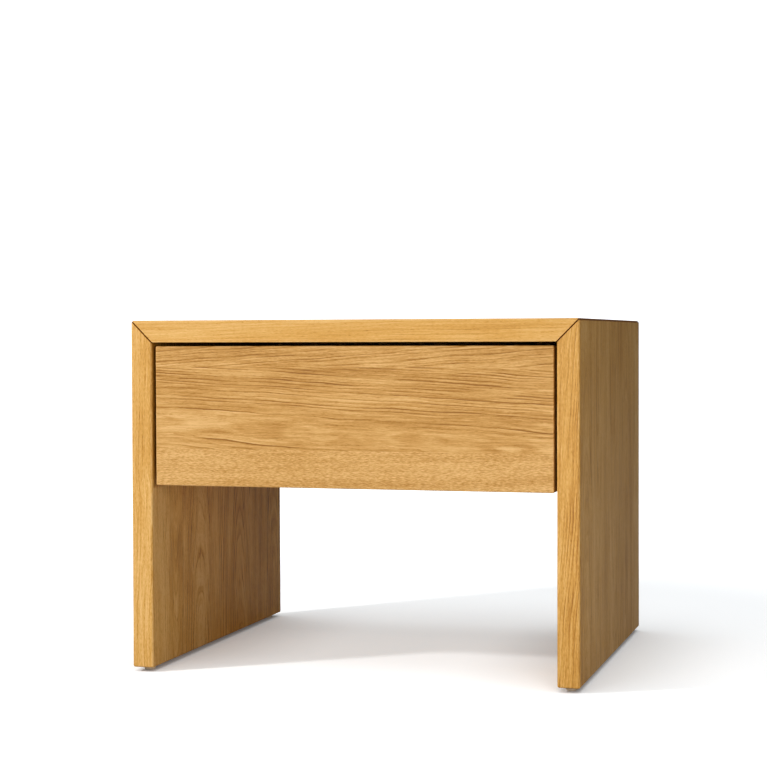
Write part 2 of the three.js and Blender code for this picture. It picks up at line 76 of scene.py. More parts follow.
class Graph:
    """The shader of one material. Each method adds a node and gives its output back."""

    def __init__(self, name):
        self.material = bpy.data.materials.new(name)
        self.material.use_nodes = True
        self.tree = self.material.node_tree
        self.tree.nodes.clear()
        self.shader = self.tree.nodes.new("ShaderNodeBsdfPrincipled")
        output = self.tree.nodes.new("ShaderNodeOutputMaterial")
        self.tree.links.new(self.shader.outputs[0], output.inputs["Surface"])

    def feed(self, socket, value):
        if isinstance(value, bpy.types.NodeSocket):
            self.tree.links.new(value, socket)
        else:
            socket.default_value = value

    def math(self, operation, *values):
        node = self.tree.nodes.new("ShaderNodeMath")
        node.operation = operation
        for socket, value in zip(node.inputs, values):
            self.feed(socket, value)
        return node.outputs[0]

    def add(self, *values):
        total = values[0]
        for value in values[1:]:
            total = self.math("ADD", total, value)
        return total

    def scaled(self, value, factor, offset=0.0):
        return self.math("MULTIPLY_ADD", value, factor, offset)

    def step(self, value, low, high):
        """0 below low and 1 above high, smooth between. With low above high it falls."""
        node = self.tree.nodes.new("ShaderNodeMapRange")
        node.interpolation_type = "SMOOTHSTEP"
        self.feed(node.inputs["Value"], value)
        node.inputs["From Min"].default_value = low
        node.inputs["From Max"].default_value = high
        return node.outputs["Result"]

    def vector(self, x, y, z):
        node = self.tree.nodes.new("ShaderNodeCombineXYZ")
        for socket, value in zip(node.inputs, (x, y, z)):
            self.feed(socket, value)
        return node.outputs[0]

    def coordinates(self, kind):
        """The x, y and z of the texture coordinate of that name."""
        place = self.tree.nodes.new("ShaderNodeTexCoord")
        split = self.tree.nodes.new("ShaderNodeSeparateXYZ")
        self.tree.links.new(place.outputs[kind], split.inputs[0])
        return split.outputs

    def millimetres(self):
        """The point's x, y and z in the piece's own frame, in millimetres."""
        return [self.math("DIVIDE", out, MM) for out in self.coordinates("Object")]

    def facing(self, axis):
        """How squarely the surface faces along an axis of the piece, from 0 to 1."""
        return self.math("ABSOLUTE", self.coordinates("Normal")[axis])

    def noise(self, place, detail=2.0, roughness=0.5, lumps=1.0):
        """Noise from -0.5 to 0.5, with about so many lumps to one unit of place."""
        node = self.tree.nodes.new("ShaderNodeTexNoise")
        self.feed(node.inputs["Vector"], place)
        node.inputs["Scale"].default_value = lumps
        node.inputs["Detail"].default_value = detail
        node.inputs["Roughness"].default_value = roughness
        return self.math("SUBTRACT", node.outputs["Fac"], 0.5)

    def random(self, value):
        """A random number from 0 to 1 for each whole number."""
        node = self.tree.nodes.new("ShaderNodeTexWhiteNoise")
        node.noise_dimensions = "1D"
        self.feed(node.inputs["W"], value)
        return node.outputs["Value"]

    def ramp(self, value, stops):
        node = self.tree.nodes.new("ShaderNodeValToRGB")
        ramp = node.color_ramp
        while len(ramp.elements) < len(stops):
            ramp.elements.new(1.0)
        for element, (position, colour) in zip(ramp.elements, stops):
            element.position = position
            element.color = (*colour, 1.0)
        self.feed(node.inputs["Fac"], value)
        return node.outputs["Color"]

    def bump(self, height, depth, strength):
        node = self.tree.nodes.new("ShaderNodeBump")
        node.inputs["Distance"].default_value = depth
        node.inputs["Strength"].default_value = strength
        self.feed(node.inputs["Height"], height)
        self.feed(self.shader.inputs["Normal"], node.outputs["Normal"])

    def finish(self, colour, roughness, **settings):
        self.feed(self.shader.inputs["Base Color"], colour)
        self.feed(self.shader.inputs["Roughness"], roughness)
        for name, value in settings.items():
            self.shader.inputs[name.replace("_", " ")].default_value = value
        return self.material


def from_srgb(red, green, blue):
    """The linear colour of a screen colour that is given from 0 to 255."""
    def linear(channel):
        share = channel / 255
        return share / 12.92 if share <= 0.04045 else ((share + 0.055) / 1.055) ** 2.4
    return tuple(linear(channel) for channel in (red, green, blue))


# --- Oak

# One glued-up board: where its tree's pith runs, across the board and through it in millimetres,
# how much that leans over the board's length, the width of a year ring, how strong the ring lines,
# the fine grain and the flecks are, how light the board is, and a seed.
Board = namedtuple(
    "Board", "across through lean_across lean_through ring lines fine fleck tone seed")

DRAWER_COLOURS = [
    (0.0, from_srgb(140, 87, 16)),
    (0.3, from_srgb(172, 118, 40)),
    (0.62, from_srgb(201, 150, 77)),
    (1.0, from_srgb(226, 180, 114)),
]
FRAME_COLOURS = [
    (0.0, from_srgb(142, 86, 10)),
    (0.3, from_srgb(182, 123, 34)),
    (0.62, from_srgb(211, 156, 70)),
    (1.0, from_srgb(233, 187, 115)),
]
# How far, in millimetres, slow noise moves a pith and fast noise bends a ring, how far in from an
# edge its wear and painted highlight reach, and the middle tone of the wood.
RING_WANDER = 4.0
RING_WOBBLE = 0.9
ARRIS_WEAR_AND_HIGHLIGHT = 2.5
MIDDLE_TONE = 0.68


def random_boards(seed, edges, box, grain, across, lines=1.0):
    """Plain-sawn boards between the given glue lines, cut 28 to 60 mm off their piths."""
    rng = random.Random(seed)
    low, high = box
    through = 3 - grain - across
    middle = (low[through] + high[through]) / 2 / MM
    limits = [low[across] / MM, *edges, high[across] / MM]
    boards = []
    for start, end in zip(limits, limits[1:]):
        boards.append(Board(
            across=rng.uniform(start, end),
            through=middle + rng.choice((-1, 1)) * rng.uniform(28, 60),
            lean_across=rng.uniform(-0.03, 0.03),
            lean_through=rng.choice((-1, 1)) * rng.uniform(0.02, 0.06),
            ring=rng.uniform(2.2, 3.4),
            lines=lines * rng.uniform(0.9, 1.4),
            fine=rng.uniform(0.8, 1.1),
            fleck=rng.uniform(0.3, 0.7),
            tone=rng.uniform(-0.07, 0.07),
            seed=rng.uniform(0, 3000),
        ))
    return boards


def arris_distance(graph, place, low, high):
    """How far a point on a block is from its nearest edge, in millimetres."""
    gaps = []
    for value, start, end in zip(place, low, high):
        middle, half = (start + end) / 2 / MM, (end - start) / 2 / MM
        from_middle = graph.math("ABSOLUTE", graph.math("SUBTRACT", value, middle))
        gaps.append(graph.math("SUBTRACT", half, from_middle))
    smaller = graph.math("MINIMUM", gaps[0], gaps[1])
    larger = graph.math("MAXIMUM", gaps[0], gaps[1])
    return graph.math("MAXIMUM", smaller, graph.math("MINIMUM", larger, gaps[2]))


def mitre_seams_and_painted_shade(graph, place):
    """1 in the seams of the two mitres, and a half as painted shade on the faces inside the
    opening.
    """
    outside, front = CAD_BOX[1][X] / MM, CAD_BOX[0][Y] / MM
    corner = (CAD_BOX[1][X] - CAD_BOX[1][Z]) / MM
    side_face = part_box("right_side_panel")[0].x / MM
    base_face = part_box("base_panel")[0].z / MM
    top_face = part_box("top_panel")[0].z / MM
    x = graph.math("ABSOLUTE", place[X])

    # A seam is fully dark in its core and fades out at its reach. It is wider on the outside.
    seam_core, seam_reach, wider_outside = 0.7, 1.6, 1.2
    from_seam = graph.math("SUBTRACT", graph.math("SUBTRACT", x, place[Z]), corner)
    from_seam = graph.math("ABSOLUTE", from_seam)
    widening = graph.scaled(graph.step(x, outside - 1, outside), -wider_outside)
    seam = graph.step(graph.add(from_seam, widening), seam_reach, seam_core)

    # Painted shade inside the opening: where it starts and where it is full, from each face or edge
    # of the opening.
    skin, below_base, behind_front = (1.2, 0.6), (-8, -4), (2.2, 4.5)
    inside = 1.0
    for value, face, (start, full) in (
        (x, side_face, skin),
        (place[Z], base_face, below_base),
        (place[Z], top_face, skin),
        (place[Y], front, behind_front),
    ):
        inside = graph.math("MULTIPLY", inside, graph.step(value, face + start, face + full))
    return graph.math("MAXIMUM", seam, graph.scaled(inside, 0.5))


def oak(name, box, grain, across, edges, boards, colours=FRAME_COLOURS, mitred=False):
    """Solid oak, glued up from boards. Grain is the axis along the boards, across is the axis over
    their widths, and edges are the places of the glue lines on that axis, in millimetres.

    Year rings are cylinders round each board's pith, bent by slow noise. So the faces show arches
    and straight grain, and the ends show arcs, as in the real wood.
    """
    graph = Graph(name)
    place = graph.millimetres()
    through = 3 - grain - across
    along, wide, deep = place[grain], place[across], place[through]
    beyond = [graph.math("GREATER_THAN", wide, edge) for edge in edges]

    def per_board(field):
        values = [getattr(board, field) for board in boards]
        total = values[0]
        for switch, before, after in zip(beyond, values, values[1:]):
            total = graph.scaled(switch, after - before, total)
        return total

    seed = per_board("seed")
    run = graph.add(along, seed)

    def grain_noise(length, width, detail=2.0, roughness=0.5):
        """Noise drawn out along the grain, in lumps of that length and width in millimetres."""
        stretched = graph.vector(graph.math("DIVIDE", run, length),
                                 graph.math("DIVIDE", wide, width),
                                 graph.math("DIVIDE", deep, width))
        return graph.noise(stretched, detail, roughness)

    def from_pith(value, field, lean, wander):
        shift = graph.math("MULTIPLY", along, per_board(lean))
        centre = graph.add(per_board(field), shift, graph.scaled(wander, 2 * RING_WANDER))
        return graph.math("SUBTRACT", value, centre)

    aside = from_pith(wide, "across", "lean_across", grain_noise(190, 80))
    depth = from_pith(deep, "through", "lean_through", grain_noise(130, 60))
    radius = graph.math("SQRT", graph.add(graph.math("MULTIPLY", aside, aside),
                                          graph.math("MULTIPLY", depth, depth)))
    # 0 where the rings lie flat in the board, which gives arches, and 1 where they stand up.
    flank = graph.step(graph.math("DIVIDE", graph.math("ABSOLUTE", aside), radius), 0.05, 0.5)
    radius = graph.add(radius, graph.scaled(grain_noise(42, 12, 1.0), 2 * RING_WOBBLE))

    def ring_noise(length, width, detail=2.0):
        """Noise drawn out along the grain that follows the year rings. The width is across them."""
        stretched = graph.vector(graph.math("DIVIDE", run, length),
                                 graph.math("DIVIDE", radius, width), 0.0)
        return graph.noise(stretched, detail, 0.6)

    # Each ring starts with a dark line of early wood, which fades out through the ring. Its
    # strength differs from ring to ring and along the board.
    rings = graph.math("DIVIDE", radius, per_board("ring"))
    rings = graph.add(rings, graph.scaled(ring_noise(900, 8.0, 1.0), 1.6))
    ring = graph.math("FLOOR", rings)
    phase = graph.math("SUBTRACT", rings, ring)
    strength = graph.scaled(graph.math("POWER", graph.random(graph.add(ring, seed)), 1.4), 0.9, 0.1)
    strength = graph.math("MULTIPLY", strength, graph.scaled(flank, 0.7, 0.3))
    patches = graph.step(grain_noise(90, 14), -0.2, 0.12)
    steepness = graph.scaled(flank, -5.0, 8.6)
    early = graph.math("POWER", graph.math("SUBTRACT", 1.0, phase), steepness)
    line = graph.math("MULTIPLY", early, graph.step(phase, 0.0, 0.08))
    line = graph.math("MULTIPLY", line, graph.math("MULTIPLY", strength, patches))
    line = graph.math("MULTIPLY", line, per_board("lines"))

    feathers = ring_noise(60, 1.3)
    streaks = grain_noise(70, 2.2, 3.0, 0.6)
    fibres = grain_noise(14, 0.5, 2.0, 0.6)
    pores = graph.step(grain_noise(5.0, 0.4, 1.0), 0.08, 0.18)
    pores = graph.math("MULTIPLY", pores, graph.scaled(early, 0.65, 0.3))
    flecks = graph.math("MULTIPLY", grain_noise(4.5, 0.8, 2.0, 0.6), per_board("fleck"))
    bands = ring_noise(320, 9.0, 1.0)
    fine = graph.add(graph.scaled(feathers, 0.8), graph.scaled(streaks, 0.7),
                     graph.scaled(fibres, 0.7))
    clouds = grain_noise(210, 40)

    end_grain = graph.step(graph.facing(grain), 0.6, 0.95)

    # Every feature makes the wood lighter or darker by its own weight.
    light = graph.add(
        MIDDLE_TONE,
        per_board("tone"),
        graph.scaled(line, -1.3),
        graph.math("MULTIPLY", fine, per_board("fine")),
        flecks,
        graph.scaled(bands, 0.5),
        graph.scaled(pores, -0.4),
        graph.scaled(clouds, 0.5),
        graph.scaled(end_grain, -0.3),
    )
    # Darker mitre seams, and painted shade on the faces inside the opening.
    if mitred:
        light = graph.add(light, graph.scaled(mitre_seams_and_painted_shade(graph, place), -0.9))
    # Edges are lighter: partly real wear, partly a painted highlight where the edges catch the
    # light.
    arris = graph.step(arris_distance(graph, place, *box), ARRIS_WEAR_AND_HIGHLIGHT, 0.0)
    wear_and_highlight = graph.math("MULTIPLY", arris, graph.scaled(grain_noise(14, 6), 1.2, 0.4))
    light = graph.add(light, graph.scaled(wear_and_highlight, 0.35))

    hollow = graph.add(graph.scaled(pores, -1.0), graph.scaled(line, -0.6), fibres)
    graph.bump(hollow, 0.15 * MM, 0.6)
    rough = graph.add(0.5, graph.scaled(pores, 0.25), graph.scaled(streaks, 0.3),
                      graph.scaled(wear_and_highlight, -0.12))
    return graph.finish(graph.ramp(light, colours), rough, IOR=1.45)


# --- Other materials

def beech():
    graph = Graph("beech")
    x, y, z = graph.millimetres()
    flecks = graph.noise(graph.vector(graph.math("DIVIDE", x, 3), y, z), 3.0, 0.6)
    light = graph.scaled(flecks, 0.9, 0.5)
    colours = [(0.2, from_srgb(178, 132, 88)), (0.8, from_srgb(214, 176, 130))]
    graph.bump(flecks, 0.05 * MM, 0.4)
    return graph.finish(graph.ramp(light, colours), graph.scaled(flecks, 0.3, 0.6))


def zinc_steel():
    """Rolled steel with bright zinc: faint streaks along the rail and a mottled passivation."""
    graph = Graph("zinc_steel")
    x, y, z = graph.millimetres()
    rolled = graph.noise(graph.vector(x, graph.math("DIVIDE", y, 90), z), 2.0)
    mottle = graph.noise(graph.vector(x, y, z), 2.0, 0.5, lumps=0.3)
    light = graph.add(0.55, graph.scaled(rolled, 0.5), graph.scaled(mottle, 0.4))
    colours = [(0.1, (0.6, 0.62, 0.64)), (0.9, (0.84, 0.85, 0.86))]
    graph.bump(rolled, 0.01 * MM, 0.4)
    rough = graph.add(0.38, graph.scaled(mottle, 0.2), graph.scaled(rolled, 0.15))
    return graph.finish(graph.ramp(light, colours), rough, Metallic=1.0)


def ball_steel():
    """Polished steel with faint scuffs."""
    graph = Graph("ball_steel")
    scuffs = graph.noise(graph.vector(*graph.millimetres()), 3.0, 0.7, lumps=1.5)
    colours = [(0.2, (0.6, 0.6, 0.62)), (0.8, (0.8, 0.8, 0.81))]
    graph.bump(scuffs, 0.01 * MM, 0.4)
    return graph.finish(graph.ramp(graph.scaled(scuffs, 1.0, 0.5), colours),
                        graph.scaled(scuffs, 0.3, 0.15), Metallic=1.0)


def moulded(name, dark, pale):
    """Moulded plastic: a slight colour drift and a fine spark-eroded texture."""
    graph = Graph(name)
    point = graph.vector(*graph.millimetres())
    drift = graph.noise(point, 2.0, 0.5, lumps=0.12)
    texture = graph.noise(point, 2.0, 0.6, lumps=2.6)
    light = graph.add(0.5, graph.scaled(drift, 0.9), graph.scaled(texture, 0.35))
    graph.bump(texture, 0.06 * MM, 0.35)
    rough = graph.add(0.45, graph.scaled(texture, 0.25), graph.scaled(drift, 0.15))
    return graph.finish(graph.ramp(light, [(0.15, dark), (0.85, pale)]), rough)


# --- Shapes

def new_object(name, data):
    obj = bpy.data.objects.new(name, data)
    bpy.context.scene.collection.objects.link(obj)
    return obj


def mesh_object(name, build):
    """A new object from a function that fills a bmesh."""
    shape = bmesh.new()
    build(shape)
    bmesh.ops.recalc_face_normals(shape, faces=shape.faces)
    mesh = bpy.data.meshes.new(name)
    shape.to_mesh(mesh)
    shape.free()
    return new_object(name, mesh)


def apply_modifiers(obj):
    """Turns what the modifiers make of the mesh into the mesh itself."""
    graph = bpy.context.evaluated_depsgraph_get()
    graph.update()
    old = obj.data
    obj.data = bpy.data.meshes.new_from_object(obj.evaluated_get(graph))
    obj.modifiers.clear()
    bpy.data.meshes.remove(old)


def soften(obj, radius, segments=3, angle=30, share=None):
    """Rounds the sharp edges of a mesh. A share function gives each edge its part of the radius."""
    obj.data.shade_smooth()
    bevel = obj.modifiers.new("arris", "BEVEL")
    bevel.width = radius
    bevel.segments = segments
    bevel.limit_method = "WEIGHT" if share else "ANGLE"
    bevel.angle_limit = math.radians(angle)
    if share:
        weights = obj.data.attributes.new("bevel_weight_edge", "FLOAT", "EDGE")
        for edge, weight in zip(obj.data.edges, weights.data):
            weight.value = share(*(obj.data.vertices[i].co for i in edge.vertices))
    bevel.harden_normals = True
    bevel.miter_outer = "MITER_ARC"
    apply_modifiers(obj)


def add_prism(shape, outline, span, axes=(X, Z), depth_axis=Y):
    """A prism: an outline in two axes, carried over a span of the third."""
    rings = []
    for depth in span:
        ring = []
        for first, second in outline:
            point = [0.0, 0.0, 0.0]
            point[axes[0]], point[axes[1]], point[depth_axis] = first, second, depth
            ring.append(shape.verts.new(point))
        rings.append(ring)
    shape.faces.new(rings[0])
    shape.faces.new(rings[1])
    count = len(outline)
    for i in range(count):
        j = (i + 1) % count
        shape.faces.new((rings[0][i], rings[0][j], rings[1][j], rings[1][i]))


def block(name, low, high, radius, segments=3):
    outline = [(low[0], low[2]), (high[0], low[2]), (high[0], high[2]), (low[0], high[2])]
    obj = mesh_object(name, lambda shape: add_prism(shape, outline, (low[1], high[1])))
    soften(obj, radius, segments)
    return obj


def turned(name, profile, turn, sides=48):
    """A lathe shape: (radius, height) points turned about Z, then put in place by a matrix."""
    def build(shape):
        points = [shape.verts.new((radius, 0.0, height)) for radius, height in profile]
        edges = [shape.edges.new(pair) for pair in zip(points, points[1:])]
        bmesh.ops.spin(shape, geom=points + edges, cent=(0, 0, 0), axis=(0, 0, 1),
                       angle=2 * math.pi, steps=sides, use_merge=True)
        bmesh.ops.remove_doubles(shape, verts=shape.verts, dist=1e-6)
        bmesh.ops.transform(shape, matrix=turn, verts=shape.verts)
    obj = mesh_object(name, build)
    obj.data.shade_smooth()
    return obj


def cut_away(obj, tool):
    """Takes the tool's volume out of obj, and removes the tool."""
    boolean = obj.modifiers.new("cut", "BOOLEAN")
    boolean.object = tool
    boolean.operation = "DIFFERENCE"
    boolean.solver = "EXACT"
    apply_modifiers(obj)
    bpy.data.objects.remove(tool)


def from_cad(node, radius, segments=2):
    """A copy of a CAD node with its flat faces made whole again and its edges rounded."""
    obj = new_object(f"{node}_look", NODES[node].data.copy())
    obj.data.materials.clear()
    shape = bmesh.new()
    shape.from_mesh(obj.data)
    bmesh.ops.remove_doubles(shape, verts=shape.verts, dist=1e-6)
    bmesh.ops.dissolve_limit(shape, angle_limit=math.radians(2), verts=shape.verts,
                             edges=shape.edges)
    shape.to_mesh(obj.data)
    shape.free()
    soften(obj, radius, segments, 40)
    return obj


def put(obj, body, slot, material, *nodes):
    """Gives a piece its material, its body and the CAD nodes that it stands for."""
    obj.data.materials.clear()
    obj.data.materials.append(material)
    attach(obj, body)
    if nodes:
        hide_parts(*nodes)


# --- The pieces

HANDS = ("left", "right")
SMALL_EDGE = 0.3 * MM
# The shank's radius and the head's height of each kind of screw.
SCREW_SIZES = {
    "front": (2.0 * MM, 2.6 * MM),
    "runner": (2.3 * MM, 2.0 * MM),
    "clip": (1.6 * MM, 2.0 * MM),
}

# The boards that show at the front. Their piths are placed so that the figure has its arches where
# the real cabinet has them. The order of the numbers is that of Board.
TOP_FRONT_BOARD = Board(-170, 330, 0.0, 0.02, 3.4, 0.35, 0.6, 0.5, 0.0, 900)
LEFT_GLUE_LINES = [-171.0, -131.0, -42.0, 7.0, 100.0, 165.0]
# Their tones fall from the front board to the back one: a painted shade, darker deeper inside the
# cabinet.
LEFT_BOARDS = [
    Board(-150, -300, 0.0, 0.01, 2.2, 0.5, 1.0, 0.9, 0.1, 260),
    Board(-152, -203, 0.0, -0.06, 1.8, 1.8, 1.2, 0.5, 0.1, 620),
    Board(-74, -196, 0.0, 0.07, 1.9, 1.8, 1.2, 0.9, 0.05, 1130),
    Board(40, -150, 0.01, 0.0, 2.6, 0.9, 1.2, 0.4, 0.04, 1720),
    Board(62, -200, 0.0, 0.07, 2.6, 1.6, 1.2, 0.4, -0.02, 2210),
    Board(210, -170, -0.01, 0.02, 2.4, 1.0, 1.2, 0.4, -0.08, 2750),
    Board(190, -200, 0.02, 0.05, 2.8, 1.4, 1.2, 0.5, -0.1, 3300),
]
# Its low tone is partly painted shade: it darkens the right end of the front.
RIGHT_FRONT_BOARD = Board(-180, 300, 0.0, 0.07, 2.6, 0.7, 1.15, 0.7, -0.08, 1640)


def frame_panels():
    """Three mitred boards. Each arris is rounded, finely along the joints, which leaves a V there.
    A hair's breadth is taken off each side of a joint, so the seam shows."""
    radius, joint_share, hair = 2.2 * MM, 0.4, 0.4 * MM
    left_low, left_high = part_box("left_side_panel")
    top_low, top_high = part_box("top_panel")

    def on_joint(point):
        return abs(abs(point.x) - point.z + left_low.x + top_high.z) < 1 * MM

    def share(start, end):
        across = abs(start.x - end.x) > 1 * MM
        return joint_share if on_joint(start) and on_joint(end) and across else 1.0

    top = mesh_object("top_board", lambda shape: add_prism(shape, [
        (left_low.x + hair, top_high.z),
        (-left_low.x - hair, top_high.z),
        (-left_high.x - hair, top_low.z),
        (left_high.x + hair, top_low.z),
    ], (top_low.y, top_high.y)))
    soften(top, radius, share=share)
    edges = [-128.0, -40.0, 52.0, 139.0]
    top_box = (top_low, top_high)
    boards = [TOP_FRONT_BOARD, *random_boards(11, edges, top_box, X, Y)[1:]]
    material = oak("oak_top", top_box, X, Y, edges, boards, mitred=True)
    put(top, "cabinet", "oak", material, "top_panel")

    right_edges = [-146.0, -68.0, 22.0, 96.0, 160.0]
    others = random_boards(8, right_edges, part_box("right_side_panel"), Z, Y, lines=0.7)[1:]
    for hand, sign, edges, boards in (("left", 1, LEFT_GLUE_LINES, LEFT_BOARDS),
                                      ("right", -1, right_edges, [RIGHT_FRONT_BOARD, *others])):
        side = mesh_object(f"{hand}_side_board", lambda shape: add_prism(shape, [
            (sign * left_low.x, left_low.z),
            (sign * left_high.x, left_low.z),
            (sign * left_high.x, top_low.z - hair),
            (sign * left_low.x, top_high.z - hair),
        ], (top_low.y, top_high.y)))
        soften(side, radius, share=share)
        node = f"{hand}_side_panel"
        material = oak(f"oak_{hand}_side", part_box(node), Z, Y, edges, boards, mitred=True)
        put(side, "cabinet", "oak", material, node)


def panel_oak(node, grain, across, edges, seed, colours=FRAME_COLOURS):
    """Oak for one node, with boards whose figure is drawn at random."""
    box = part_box(node)
    boards = random_boards(seed, edges, box, grain, across)
    return oak(f"oak_{node}", box, grain, across, edges, boards, colours)


def thin_panels():
    """The base and the back, between the sides."""
    for node, across, edges, seed in (("base_panel", Y, [-80.0, 5.0, 96.0], 21),
                                      ("back_panel", Z, [262.0, 321.0], 27)):
        piece = block(f"{node}_board", *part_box(node), 0.8 * MM)
        put(piece, "cabinet", "oak", panel_oak(node, X, across, edges, seed), node)


def drawer_front():
    """Three boards glued edge to edge: a narrow one on top, a wide plain-sawn one and a rift one.
    A round-ended groove for the fingers is cut into the back, near the lower edge."""
    low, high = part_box("drawer_front")
    piece = block("drawer_front_board", low, high, 1.8 * MM, 4)
    # The tool for the groove is a rod with round ends, sunk to its middle in the back.
    radius, reach, rise = 8 * MM, 188 * MM, 16 * MM
    quarter = [i / 12 * math.pi / 2 for i in range(13)]
    profile = [(radius * math.sin(a), reach - radius + radius * math.cos(a)) for a in quarter]
    profile += [(r, -h) for r, h in reversed(profile)]
    turn = Matrix.Translation((0, high.y, low.z + rise)) @ Matrix.Rotation(math.pi / 2, 4, "Y")
    cut_away(piece, turned("groove", profile, turn))
    lower_board, upper_board = 42, 23.5
    edges = [low.z / MM + lower_board, high.z / MM - upper_board]
    boards = [
        Board(400, -90, 0.01, 0.02, 1.6, 0.15, 0.4, 1.5, 0.0, 400),
        Board(272, -190, -0.06, 0.0, 3.2, 1.2, 1.1, 0.4, -0.03, 1300),
        Board(250, -130, 0.1, 0.03, 2.6, 0.8, 1.1, 0.6, 0.0, 2200),
    ]
    material = oak("oak_drawer_front", (low, high), X, Z, edges, boards, DRAWER_COLOURS)
    put(piece, "drawer", "oak", material, "drawer_front")


def drawer_box():
    """Four dovetailed walls of two boards each, and a floor of three."""
    upper_board = 47.0
    for node, grain, seed in (("drawer_box_front", X, 31), ("drawer_box_back", X, 32),
                              ("left_drawer_side", Y, 33), ("right_drawer_side", Y, 34)):
        glue_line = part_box(node)[1].z / MM - upper_board
        material = panel_oak(node, grain, Z, [glue_line], seed, DRAWER_COLOURS)
        put(from_cad(node, 0.4 * MM), "drawer", "drawer_oak", material, node)
    node = "drawer_floor"
    material = panel_oak(node, X, Y, [-62.0, 48.0], 41)
    piece = block(f"{node}_board", *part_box(node), SMALL_EDGE, 2)
    put(piece, "drawer", "oak_plywood", material, node)


def glides(plastic):
    """Discs with a rounded foot, and a hole from the top that the nail stands in."""
    rounding, bevel, hole, sole = 1.6 * MM, 0.3 * MM, 1.5 * MM, 2 * MM
    quarter = [i / 8 * math.pi / 2 for i in range(9)]
    for hand in HANDS:
        for end in ("front", "rear"):
            node = f"{hand}_glide_{end}"
            low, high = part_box(node)
            radius, tall = (high.x - low.x) / 2, high.z - low.z
            foot = [(radius - rounding + rounding * math.sin(a), rounding - rounding * math.cos(a))
                    for a in quarter]
            top = [(radius, tall - bevel), (radius - bevel, tall), (hole, tall), (hole, sole),
                   (0.0, sole)]
            middle = ((low.x + high.x) / 2, (low.y + high.y) / 2, low.z)
            piece = turned(f"{node}_disc", [(0.0, 0.0), *foot, *top], Matrix.Translation(middle))
            put(piece, "cabinet", "glide_plastic", plastic, node)


def rails(steel):
    """Every rail keeps its CAD shape, with its edges rounded."""
    for hand in HANDS:
        for part, body in (("fixed_rail", "cabinet"), ("drawer_rail", "drawer"),
                           ("middle_rail", f"{hand}_middle_rail")):
            node = f"{hand}_{part}"
            put(from_cad(node, SMALL_EDGE), body, "steel", steel, node)


def ball_cage(node, plastic, steel):
    """A channel of moulded strip round the middle rail, with balls in pockets in its two sides."""
    # The radii of a ball and its pocket, the thickness of the channel's sides and of its web, and
    # how far in from the free edges of the sides the balls sit.
    ball, pocket, strip, web, cover = 1.8 * MM, 1.95 * MM, 1.4 * MM, 0.9 * MM, 2.4 * MM
    count, pitch = 4, 34 * MM
    low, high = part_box(node)
    upper = "upper" in node
    web_z, tip_z = (high.z, low.z) if upper else (low.z, high.z)
    up = -1 if upper else 1
    rows = (low.x + ball, high.x - ball)
    outer = (rows[0] - strip / 2, rows[1] + strip / 2)
    inner = (rows[0] + strip / 2, rows[1] - strip / 2)
    ball_z = tip_z - up * cover
    ball_y = [(low.y + high.y) / 2 + (i - (count - 1) / 2) * pitch for i in range(count)]

    channel = mesh_object(f"{node}_strip", lambda shape: add_prism(shape, [
        (outer[0], web_z), (outer[1], web_z), (outer[1], tip_z), (inner[1], tip_z),
        (inner[1], web_z + up * web), (inner[0], web_z + up * web), (inner[0], tip_z),
        (outer[0], tip_z)], (low.y, high.y)))
    circle = [(pocket * math.cos(i / 12 * math.pi), pocket * math.sin(i / 12 * math.pi))
              for i in range(24)]

    def drills(shape):
        for y in ball_y:
            outline = [(y + a, ball_z + b) for a, b in circle]
            add_prism(shape, outline, (low.x - ball, high.x + ball), (Y, Z), X)
    cut_away(channel, mesh_object("drills", drills))
    soften(channel, 0.15 * MM, 2)

    def fill(shape):
        for x in rows:
            for y in ball_y:
                place = Matrix.Translation((x, y, ball_z))
                bmesh.ops.create_uvsphere(shape, u_segments=20, v_segments=10, radius=ball,
                                          matrix=place)
    balls = mesh_object(f"{node}_balls", fill)
    balls.data.shade_smooth()
    put(channel, node, "cage_plastic", plastic, node)
    put(balls, node, "steel", steel)


def screw(node, axis, towards, body, steel):
    """A pan head with a cross recess on a threaded shank. The head faces up the axis where towards
    is 1, and down it where towards is -1."""
    shank, tall = next(size for kind, size in SCREW_SIZES.items() if f"{kind}_screw" in node)
    low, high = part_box(node)
    head = (high.z - low.z) / 2
    long = high[axis] - low[axis] - tall
    pitch, depth, tip = 2.2 * shank / 2, 0.25 * shank, 2 * shank
    profile = [(0.0, -long), (0.3 * shank, tip / 2 - long)]
    for i in range(int((long - tip) / pitch)):
        foot = tip - long + i * pitch
        profile += [(shank - depth, foot), (shank, foot + 0.4 * pitch),
                    (shank - depth, foot + 0.5 * pitch)]
    profile += [(shank, -0.3 * pitch), (shank, 0.0)]
    # The head's outline, in shares of its radius and of its height.
    dome = ((1.0, 0.0), (1.0, 0.35), (0.93, 0.62), (0.75, 0.85), (0.45, 0.97), (0.0, 1.0))
    profile += [(r * head, h * tall) for r, h in dome]
    start = high[axis] - tall if towards > 0 else low[axis] + tall
    place = [(a + b) / 2 for a, b in zip(low, high)]
    place[axis] = start
    facing = Vector([towards if i == axis else 0.0 for i in range(3)])
    turn = Matrix.Translation(place) @ facing.to_track_quat("Z", "Y").to_matrix().to_4x4()
    # With 28 sides no corner of the cross falls on an edge of the head, which keeps the cut clean.
    piece = turned(f"{node}_turned", profile, turn, 28)

    def cross(shape):
        """One arm's outline, turned by quarters."""
        half, wide, floor = 0.55 * head, 0.12 * head, 0.3 * tall
        arm = [(half, -wide), (half, wide), (wide, wide)]
        outline = [(a * cos - b * sin, a * sin + b * cos)
                   for cos, sin in ((1, 0), (0, 1), (-1, 0), (0, -1)) for a, b in arm]
        add_prism(shape, outline, (floor, 2 * tall), (X, Y), Z)
        bmesh.ops.transform(shape, matrix=turn, verts=shape.verts)
    cut_away(piece, mesh_object("cross", cross))
    put(piece, body, "steel", steel, node)


